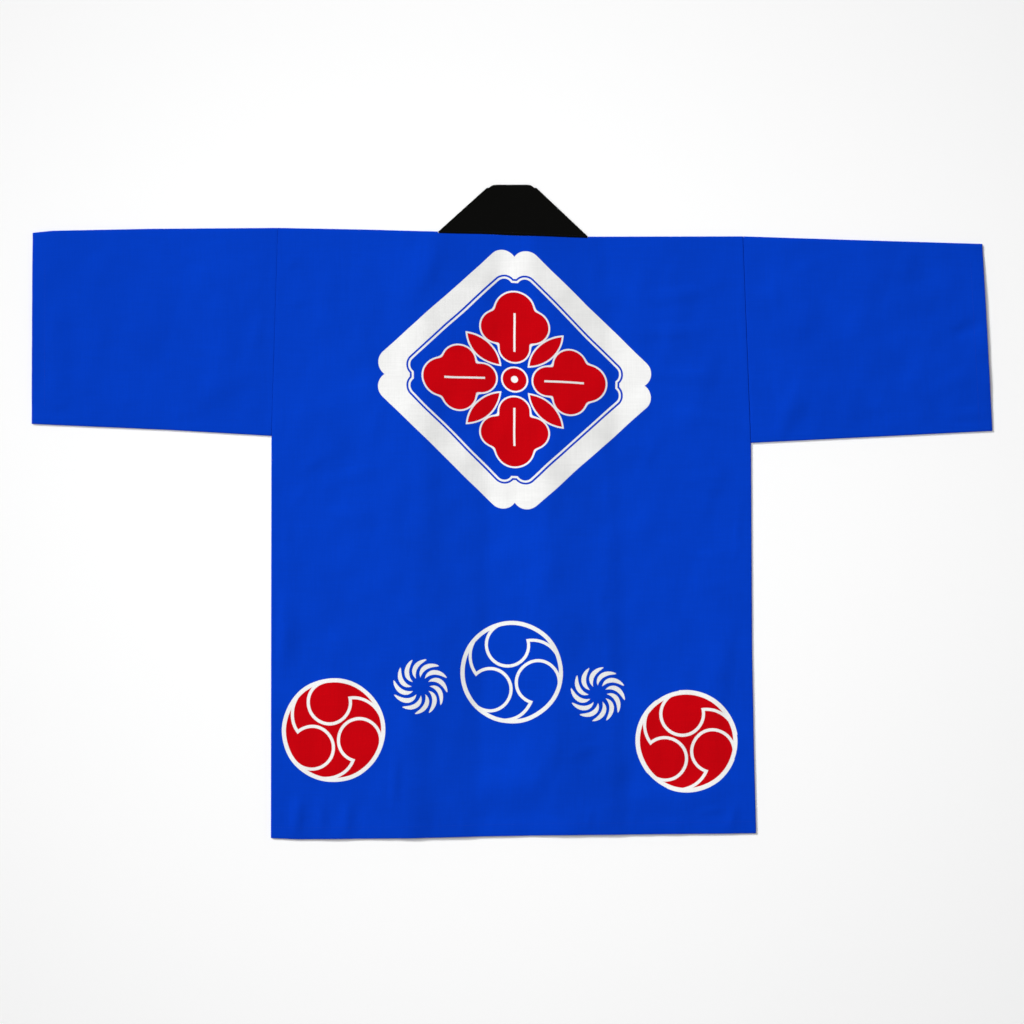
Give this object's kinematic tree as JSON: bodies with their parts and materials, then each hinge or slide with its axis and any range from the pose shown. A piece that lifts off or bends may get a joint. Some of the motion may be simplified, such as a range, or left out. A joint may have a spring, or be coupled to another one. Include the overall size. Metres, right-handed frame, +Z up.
{
  "type": "happi coat laid flat",
  "caption": "Straight-cut cotton festival jacket with wide sleeves and a long band collar, laid flat with its printed back up.",
  "frame": {"origin": "on the surface that the coat lies on, under the middle of its outline", "axes": "+X runs from the left cuff to the right cuff as the back is seen, +Y from the hem to the collar, +Z up from the surface through the fronts to the back"},
  "size_m": [1.2, 0.8174, 0.0062],
  "materials": {
    "printed_cotton": "matt plain-weave cotton sheeting, royal blue, with a screen print in red and white",
    "blue_cotton": "matt plain-weave cotton sheeting, royal blue",
    "black_cotton": "matt plain-weave cotton, black, folded into a band"
  },
  "bodies": {
    "root": {"back": "printed_cotton", "front_left": "blue_cotton", "front_right": "blue_cotton", "sleeve_left": "blue_cotton", "sleeve_right": "blue_cotton", "collar": "black_cotton"}
  },
  "joints": []
}
